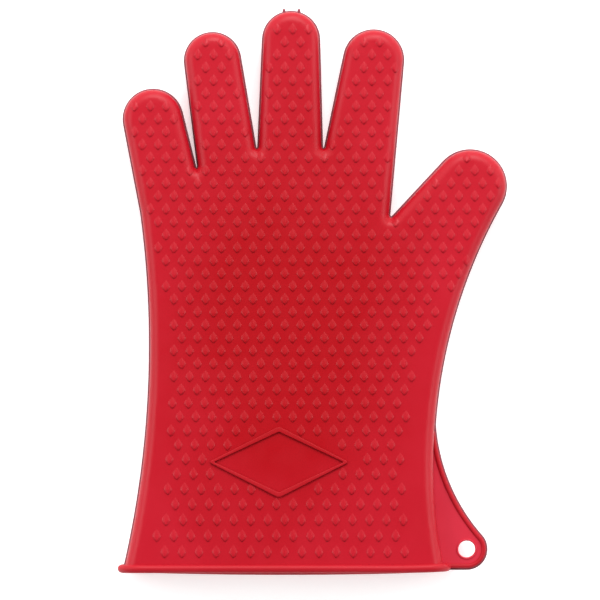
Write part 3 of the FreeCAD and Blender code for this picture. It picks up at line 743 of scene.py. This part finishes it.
class GLOVE_OT_skin(bpy.types.Operator):
    """Raises the glove's plan, rounds its edges and cuts the skin into its pieces"""

    bl_idname = "glove.skin"
    bl_label = "Skin"

    def execute(self, context):
        sizes = context.scene.glove_sizes
        bm = bmesh.new()
        draw_glove(bm)
        bmesh.ops.contextual_create(bm, geom=bm.edges[:])
        border = bmesh.ops.inset_region(bm, faces=bm.faces[:], use_boundary=True,
                                        thickness=sizes.lip_width)["faces"]
        bmesh.ops.delete(bm, geom=border, context="FACES")
        thicken(bm, UP * STOCK * MM)
        rims = [e for e in bm.edges if abs(e.verts[0].co.z - e.verts[1].co.z) < 1e-6]
        bmesh.ops.bevel(bm, geom=rims, offset=sizes.edge_radius, segments=7,
                        profile=0.5, affect="EDGES", material=-1, clamp_overlap=False)
        mouth_cut(bm)
        low, high = (at(*corner) for corner in SKIN_CORNERS)
        for axis, normal in enumerate((Vector((1, 0, 0)), Vector((0, 1, 0)))):
            spot = low[axis] + sizes.mesh_step
            while spot < high[axis]:
                bmesh.ops.bisect_plane(bm, geom=everything(bm), dist=1e-7,
                                       plane_co=normal * spot, plane_no=normal)
                spot += sizes.mesh_step
        cut_pieces(bm)
        bmesh.ops.remove_doubles(bm, verts=bm.verts[:], dist=2e-5)
        seat(bm)
        skin = silicones()["skin"]
        nodes = nodes_under_skin()
        for piece, item in split_by_piece(bm, "skin", skin):
            wall = item.modifiers.new("wall", "SOLIDIFY")
            wall.thickness = sizes.wall
            wall.offset = -1.0
            wall.use_rim = True
            crisp = item.modifiers.new("crisp_rims", "EDGE_SPLIT")
            crisp.split_angle = math.radians(50)
            bend_like_skin(item)
            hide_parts(*nodes[piece])
        return {"FINISHED"}


class GLOVE_OT_lip(bpy.types.Operator):
    """Runs the thin parting lip round the glove where its mould halves met"""

    bl_idname = "glove.lip"
    bl_label = "Parting lip"

    def execute(self, context):
        bm = bmesh.new()
        draw_glove(bm)
        draw_lip(bm, context.scene.glove_sizes.lip_width)
        bmesh.ops.translate(bm, verts=bm.verts[:], vec=at(0, 0, (STOCK - LIP_THICK) / 2))
        mouth_cut(bm)
        cut_pieces(bm)
        behind_tab = [f for f in bm.faces if f.calc_center_median().x > 50 * MM
                      and f.calc_center_median().y < (TAB_START[1] - 3) * MM]
        bmesh.ops.delete(bm, geom=behind_tab, context="FACES")
        seat(bm)
        for piece, item in split_by_piece(bm, "lip", silicones()["lip"]):
            bend_like_skin(item)
        return {"FINISHED"}


def nub_mesh(sizes):
    """One gripping nub: a leaf with a low ridge, steep at its rounded point, which
    faces the cuff, and running out into the skin behind. Its rim is sunk a little."""
    bm = bmesh.new()
    wide, tall = sizes.nub_width / 2, sizes.nub_height
    front, back = 0.38 * sizes.nub_length, 0.62 * sizes.nub_length
    bmesh.ops.create_circle(bm, cap_ends=True, radius=1.0, segments=12)
    for v in bm.verts:
        x, y = v.co.x, v.co.y
        if y < -0.01:
            v.co.y = -(1 - abs(x) ** 1.5) * front
        else:
            v.co.x = x * (1 - 0.45 * y)
            v.co.y = y * back
        v.co.x *= wide
    cap = bm.faces[:]
    # shoulder and ridge: shares of the width and length that they keep, and of the
    # height at the point and at the tail
    for width, length, low, high in ((0.80, 0.90, 0.78, 0.0), (0.24, 0.78, 1.0, 0.04)):
        bmesh.ops.inset_region(bm, faces=cap, thickness=0.02 * MM, depth=0.0,
                               use_boundary=True)
        for v in {v for f in cap for v in f.verts}:
            v.co.x *= width
            v.co.y *= length
            share = min(1.0, max(0.0, (v.co.y + 0.4 * front) / (back + 0.4 * front)))
            # the shoulder runs out sooner than the ridge
            fall = share if width < 0.5 else min(1.0, 1.7 * share)
            v.co.z = tall * (low + (high - low) * fall)
    for v in bm.verts:
        if v.co.z < 1e-7:
            v.co.z = -0.10 * MM
    bmesh.ops.recalc_face_normals(bm, faces=bm.faces[:])
    mesh = bpy.data.meshes.new("nub")
    bm.to_mesh(mesh)
    bm.free()
    return mesh


def margin_at(place, piece):
    """Least distance in mm from the glove's edge to the middle of a nub there."""
    across, up = place.x / MM, place.y / MM
    if piece not in ("cuff", "palm") or up > 34:
        return FINGER_MARGIN
    low, high, first, last = LITTLE_SIDE_MARGIN if across < -10 else THUMB_SIDE_MARGIN
    share = min(1.0, max(0.0, (up - low) / (high - low)))
    return first + share * (last - first)


def nub_places(edge, sizes):
    """Plan points of the nubs, in staggered rows that spread towards the cuff, each
    with its stretch along the glove and its skin piece."""
    kept = []
    y = NUBS_FIRST_Y * MM
    row = 0
    while y < NUBS_LAST_Y * MM:
        # 0 on the palm and fingers, 1 near the mouth
        spread = min(1.0, max(0.0, (-40 * MM - y) / (80 * MM)))
        pitch = sizes.nub_pitch * (1 + 0.08 * spread)
        left = NUBS_MIDDLE_X * MM + (0.5 * pitch if row % 2 else 0.0)
        for i in range(-14, 18):
            place = Vector((left + i * pitch, y, 0.0))
            piece = piece_at(place)
            gap = (edge.find(place)[0].xy - place.xy).length / MM
            if gap >= margin_at(place, piece):
                kept.append((place, 1 + 0.12 * spread, piece))
        y += sizes.row_pitch * (1 + 0.244 * spread)
        row += 1
    return kept


def edge_and_plan():
    """The glove's outline for distances to it, and its plan for what lies inside."""
    bm = bmesh.new()
    draw_glove(bm)
    long_edges = [e for e in bm.edges if e.calc_length() > 4 * MM]
    bmesh.ops.subdivide_edges(bm, edges=long_edges, cuts=60)
    inside = bm.copy()
    edge = kdtree.KDTree(len(bm.verts))
    for i, v in enumerate(bm.verts):
        edge.insert(v.co, i)
    edge.balance()
    bm.free()
    bmesh.ops.contextual_create(inside, geom=inside.edges[:])
    plan = bvhtree.BVHTree.FromBMesh(inside)
    inside.free()
    return edge, plan


def near_rib(place):
    """True where the diamond rib and the bare skin round it lie."""
    x, y, wide, tall = RIB
    aside = abs(place.x / MM - x) / (wide / 2 + RIB_CLEAR[0])
    along = abs(place.y / MM - y) / (tall / 2 + RIB_CLEAR[1])
    return aside + along < 1


class GLOVE_OT_nubs(bpy.types.Operator):
    """Sets the gripping nubs on both sides of the glove"""

    bl_idname = "glove.nubs"
    bl_label = "Nubs"

    def execute(self, context):
        sizes = context.scene.glove_sizes
        tree = surface_tree()
        edge, plan = edge_and_plan()
        shape = nub_mesh(sizes)
        meshes = {piece: bmesh.new() for piece in BLENDS}
        for place, scale, piece in nub_places(edge, sizes):
            if not plan.ray_cast(place + UP, -UP)[0]:
                continue
            for below in (False, True):
                if not below and near_rib(place):
                    continue
                bm = meshes[piece]
                start = len(bm.verts)
                bm.from_mesh(shape)
                bm.verts.ensure_lookup_table()
                verts = bm.verts[start:]
                for v in verts:
                    co = place + Vector((v.co.x, v.co.y * scale, 0))
                    height = drop(tree, co, below)
                    if height is None:
                        height = 0.5 * top_at(co.y)
                    rise = -v.co.z if below else v.co.z
                    v.co = Vector((co.x, co.y, height + rise))
                if below:
                    faces = list({f for v in verts for f in v.link_faces})
                    bmesh.ops.reverse_faces(bm, faces=faces)
        material = silicones()["skin"]
        for piece, bm in meshes.items():
            item = finish_object(bm, piece + "_nubs", material)
            bend_like_skin(item)
        return {"FINISHED"}


class GLOVE_OT_cuff_bead(bpy.types.Operator):
    """Rolls the round bead along the edge of the mouth"""

    bl_idname = "glove.cuff_bead"
    bl_label = "Cuff bead"

    def execute(self, context):
        r = context.scene.glove_sizes.bead_radius
        low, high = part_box("cuff_bead_back"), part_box("cuff_bead_front")
        left, right = low[0].x + r, low[1].x - r
        bottom, top = low[0].z + r + 0.05 * MM, high[1].z - r
        y = (MOUTH_Y - 0.7) * MM
        corner = 8.0 * MM  # radius of the mouth's four corners
        bm = bmesh.new()
        bmesh.ops.create_circle(bm, radius=r, segments=14, matrix=(
            Matrix.Translation((left + corner, y, bottom))
            @ Matrix.Rotation(math.radians(90), 4, "Y")))
        ring = bm.edges[:]
        wide, tall = right - left - 2 * corner, top - bottom - 2 * corner
        run = Vector((1, 0, 0))
        centre = Vector((right - corner, y, bottom + corner))
        for length, steps in ((wide, 40), (tall, 3), (wide, 40), (tall, 3)):
            for _ in range(steps):
                made = bmesh.ops.extrude_edge_only(bm, edges=ring)["geom"]
                verts = corners_of(made)
                ring = [e for e in made if isinstance(e, bmesh.types.BMEdge)
                        and len(e.link_faces) == 1]
                bmesh.ops.translate(bm, verts=verts, vec=run * length / steps)
            made = bmesh.ops.spin(bm, geom=ring + verts, cent=centre, axis=(0, 1, 0),
                                  angle=-math.pi / 2, steps=6)["geom_last"]
            ring = [e for e in made if isinstance(e, bmesh.types.BMEdge)]
            run = Matrix.Rotation(-math.pi / 2, 3, "Y") @ run
            centre += run * (tall if abs(run.z) > 0.5 else wide)
        bmesh.ops.remove_doubles(bm, verts=bm.verts[:], dist=1e-5)
        bmesh.ops.recalc_face_normals(bm, faces=bm.faces[:])
        middle, half = (left + right) / 2, (right - left) / 2
        for v in bm.verts:
            # the back hangs lower than the front, most of all at mid-width
            below = 1 - (v.co.z - bottom) / (top - bottom)
            bow = max(0.0, 1 - ((v.co.x - middle) / half) ** 2)
            v.co.y -= below * (0.9 + 1.3 * bow) * MM
            # its thumb end rises to meet the hang tab's rim
            rise = min(1.0, max(0.0, (v.co.x - 35 * MM) / (28 * MM)))
            v.co.y += 0.7 * MM * rise * rise
        item = finish_object(bm, "cuff_bead", silicones()["trim"])
        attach(item, "cuff")
        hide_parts("cuff_bead_front", "cuff_bead_back")
        return {"FINISHED"}


def tab_rim(middle, thick, lip_width):
    """The tab's thick rim: a flattened ring run along the tab's edge inside its lip."""
    bm = bmesh.new()
    bmesh.ops.create_circle(bm, radius=1.0, segments=16)
    touch = bearing(TAB_BOW, TAB_HOLE)
    bow_radius = (Vector(TAB_START) - Vector(TAB_BOW)).length
    reach = bow_radius + 0.9 * lip_width / MM + TAB_RIM_WIDTH / 2
    heading = bearing(TAB_BOW, TAB_START) + 2.0  # it starts within the skin
    run = Vector((math.cos(math.radians(heading)), math.sin(math.radians(heading)), 0))
    for v in bm.verts:
        out = math.copysign(abs(v.co.x) ** 0.7, v.co.x) * TAB_RIM_WIDTH / 2
        up = math.copysign(abs(v.co.y) ** 0.7, v.co.y) * thick / 2
        v.co = at(*TAB_BOW) + run * (reach + out) * MM + UP * (middle + up)
    geom = bmesh.ops.spin(bm, geom=bm.verts[:] + bm.edges[:], cent=at(*TAB_BOW), axis=UP,
                          angle=math.radians((touch - heading) % 360),
                          steps=36)["geom_last"]
    geom = bmesh.ops.spin(bm, geom=geom, cent=at(*TAB_HOLE), axis=UP,
                          angle=-math.radians((bearing(TAB_HOLE, TAB_BOW) + 90) % 360),
                          steps=18)["geom_last"]
    made = bmesh.ops.extrude_edge_only(
        bm, edges=[e for e in geom if isinstance(e, bmesh.types.BMEdge)])["geom"]
    # and it ends within the bead
    bmesh.ops.translate(bm, verts=corners_of(made),
                        vec=at(MOUTH_RIGHT[0] - 0.5 - TAB_HOLE[0], 0))
    bmesh.ops.recalc_face_normals(bm, faces=bm.faces[:])
    return bm


def tab_lip(middle, lip_width):
    """The parting lip's run round the tab, from its height on the cuff to the tab's."""
    bm = bmesh.new()
    draw_tab(bm, closed=False)
    draw_lip(bm, lip_width)
    start = TAB_START[1] * MM
    joined = top_at(start) / 2
    for v in bm.verts:
        ease = min(1.0, max(0.0, (start - v.co.y) / (15 * MM)))
        v.co.z += joined + ease * (middle - joined) - LIP_THICK * MM / 2
    return bm


def tab_web(low, high):
    """The tab's thin web between two heights, with its hole, tucked into the rim."""
    bm = bmesh.new()
    draw_tab(bm, closed=True)
    bmesh.ops.contextual_create(bm, geom=bm.edges[:])
    border = bmesh.ops.inset_region(bm, faces=bm.faces[:], use_boundary=True,
                                    thickness=TAB_RIM_WIDTH * MM / 2 + 0.05 * MM)
    bmesh.ops.delete(bm, geom=border["faces"], context="FACES")
    bmesh.ops.delete(bm, geom=bm.faces[:], context="FACES_ONLY")
    bmesh.ops.create_circle(bm, radius=HOLE_RADIUS * MM, segments=40,
                            matrix=Matrix.Translation(at(*TAB_HOLE)))
    bmesh.ops.triangle_fill(bm, use_beauty=True, edges=bm.edges[:])
    thicken(bm, UP * (high - low))
    bmesh.ops.translate(bm, verts=bm.verts[:], vec=UP * low)
    return bm


def hole_collar(heights):
    """A thin ring round each end of the hang hole."""
    bm = bmesh.new()
    hole = at(*TAB_HOLE)
    for z in heights:
        made = bmesh.ops.create_circle(
            bm, radius=COLLAR_RADIUS * MM, segments=10,
            matrix=Matrix.Translation((hole.x + COLLAR_REACH * MM, hole.y, z))
            @ Matrix.Rotation(math.radians(90), 4, "X"))
        verts = made["verts"]
        edges = list({e for v in verts for e in v.link_edges})
        bmesh.ops.spin(bm, geom=verts + edges, cent=hole, axis=UP,
                       angle=math.tau, steps=40, use_merge=True)
    bmesh.ops.remove_doubles(bm, verts=bm.verts[:], dist=1e-6)
    bmesh.ops.recalc_face_normals(bm, faces=bm.faces[:])
    return bm


class GLOVE_OT_hang_tab(bpy.types.Operator):
    """Makes the hang tab's rim, its parting lip, its web and the collar of its hole"""

    bl_idname = "glove.hang_tab"
    bl_label = "Hang tab"

    def execute(self, context):
        materials = silicones()
        lip_width = context.scene.glove_sizes.lip_width
        low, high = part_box("hang_tab_rim")
        middle, thick = (low.z + high.z) / 2, high.z - low.z
        rim = finish_object(tab_rim(middle, thick, lip_width), "hang_tab_edge",
                            materials["trim"])
        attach(rim, "cuff")
        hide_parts("hang_tab_rim")

        lip = finish_object(tab_lip(middle, lip_width), "hang_tab_lip", materials["lip"])
        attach(lip, "cuff")

        low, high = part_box("hang_tab_web")
        web = finish_object(tab_web(low.z, high.z), "hang_tab_sheet", materials["web"],
                            smooth=False)
        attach(web, "cuff")
        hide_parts("hang_tab_web")

        # the collar takes the web's silicone, lightened by painted light from the floor
        collar = finish_object(hole_collar((high.z, low.z)), "hang_hole_collar",
                               materials["web"])
        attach(collar, "cuff")
        return {"FINISHED"}


class GLOVE_OT_diamond_rib(bpy.types.Operator):
    """Lays the raised diamond on the gripping side of the cuff"""

    bl_idname = "glove.diamond_rib"
    bl_label = "Diamond rib"

    def execute(self, context):
        sizes = context.scene.glove_sizes
        tree = surface_tree()
        x, y, wide, tall = RIB
        bm = bmesh.new()
        pen = Pen(bm, x - wide / 2, y)
        pen.line(x, y + tall / 2)
        pen.line(x + wide / 2, y)
        pen.line(x, y - tall / 2)
        pen.close()
        bmesh.ops.contextual_create(bm, geom=bm.edges[:])
        face = bm.faces[:]
        bmesh.ops.inset_region(bm, faces=face, thickness=sizes.rib_width,
                               use_boundary=True)
        bmesh.ops.delete(bm, geom=face, context="FACES")
        sunk = 0.3 * MM
        thicken(bm, UP * (sizes.rib_height + sunk))
        centre = at(x, y)
        upright = [e for e in bm.edges
                   if abs(e.verts[0].co.z - e.verts[1].co.z) > 0.5 * sizes.rib_height]
        reach = [(e.verts[0].co.xy - centre.xy).length for e in upright]
        # rounds the outer corners, then the inner ones
        for round_by, wanted in ((1.6, max), (0.7, min)):
            for pair in ("x", "y"):
                same = [(r, e) for r, e in zip(reach, upright) if e.is_valid and
                        (abs(e.verts[0].co.x - centre.x) > 2 * MM) == (pair == "x")]
                far = wanted(r for r, e in same)
                corners = [e for r, e in same if abs(r - far) < 0.5 * MM]
                bmesh.ops.bevel(bm, geom=corners, offset=round_by * MM, segments=5,
                                profile=0.5, affect="EDGES", material=-1,
                                clamp_overlap=True)
                same = [(r, e) for r, e in zip(reach, upright) if e.is_valid]
                reach, upright = [r for r, e in same], [e for r, e in same]
        rims = [e for e in bm.edges if e.is_manifold and abs(e.calc_face_angle()) > 1.2
                and min(v.co.z for v in e.verts) > 0.5 * sizes.rib_height]
        bmesh.ops.bevel(bm, geom=rims, offset=0.9 * MM, segments=5, profile=0.5,
                        affect="EDGES", material=-1, clamp_overlap=True)
        spot = centre.x - wide * MM / 2
        while spot < centre.x + wide * MM / 2:
            bmesh.ops.bisect_plane(bm, geom=everything(bm), dist=1e-7,
                                   plane_co=(spot, 0, 0), plane_no=(1, 0, 0))
            spot += 3 * MM
        for v in bm.verts:
            v.co.z += drop(tree, v.co) - sunk
        item = finish_object(bm, "diamond_ridge", silicones()["trim"])
        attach(item, "cuff")
        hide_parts("diamond_rib")
        return {"FINISHED"}


class GLOVE_OT_vent_nibs(bpy.types.Operator):
    """Leaves two short vent nibs on the end of the middle finger"""

    bl_idname = "glove.vent_nibs"
    bl_label = "Vent nibs"

    def execute(self, context):
        turn = Matrix.Rotation(math.radians(-90), 4, "X")
        depth = 3.2 * MM
        for side in ("left", "right"):
            low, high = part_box("vent_nib_" + side)
            centre = (low + high) / 2
            centre.y = high.y - depth / 2
            bm = bmesh.new()
            bmesh.ops.create_cone(bm, cap_ends=True, segments=14, radius1=1.05 * MM,
                                  radius2=0.62 * MM, depth=depth,
                                  matrix=Matrix.Translation(centre) @ turn)
            end = [e for e in bm.edges
                   if all(v.co.y > high.y - 0.1 * MM for v in e.verts)]
            bmesh.ops.bevel(bm, geom=end, offset=0.35 * MM, segments=3, profile=0.5,
                            affect="EDGES", material=-1, clamp_overlap=True)
            # the nibs take the lip's silicone, whose dull red is painted edge shade
            item = finish_object(bm, f"vent_nib_{side}_stub", silicones()["lip"])
            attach(item, "middle_tip")
            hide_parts("vent_nib_" + side)
        return {"FINISHED"}


STEPS = (GLOVE_OT_stage, GLOVE_OT_skin, GLOVE_OT_lip, GLOVE_OT_nubs, GLOVE_OT_cuff_bead,
         GLOVE_OT_hang_tab, GLOVE_OT_diamond_rib, GLOVE_OT_vent_nibs)


class GLOVE_PT_panel(bpy.types.Panel):
    """Sizes, colours and making steps of the glove"""

    bl_idname = "GLOVE_PT_panel"
    bl_label = "Glove"
    bl_space_type = "VIEW_3D"
    bl_region_type = "UI"
    bl_category = "Glove"

    def draw(self, context):
        layout = self.layout
        for group in (context.scene.glove_sizes, context.scene.glove_colours):
            for name in group.bl_rna.properties.keys():
                if name not in ("rna_type", "name"):
                    layout.prop(group, name)
        for step in STEPS:
            layout.operator(step.bl_idname)


CLASSES = (GloveSizes, GloveColours) + STEPS + (GLOVE_PT_panel,)


def register():
    for item in CLASSES:
        bpy.utils.register_class(item)
    bpy.types.Scene.glove_sizes = PointerProperty(type=GloveSizes)
    bpy.types.Scene.glove_colours = PointerProperty(type=GloveColours)


def unregister():
    del bpy.types.Scene.glove_colours
    del bpy.types.Scene.glove_sizes
    for item in reversed(CLASSES):
        bpy.utils.unregister_class(item)


def main():
    register()
    bpy.ops.glove.stage()
    bpy.ops.glove.skin()
    bpy.ops.glove.lip()
    bpy.ops.glove.nubs()
    bpy.ops.glove.cuff_bead()
    bpy.ops.glove.hang_tab()
    bpy.ops.glove.diamond_rib()
    bpy.ops.glove.vent_nibs()


if __name__ == "__main__":
    main()
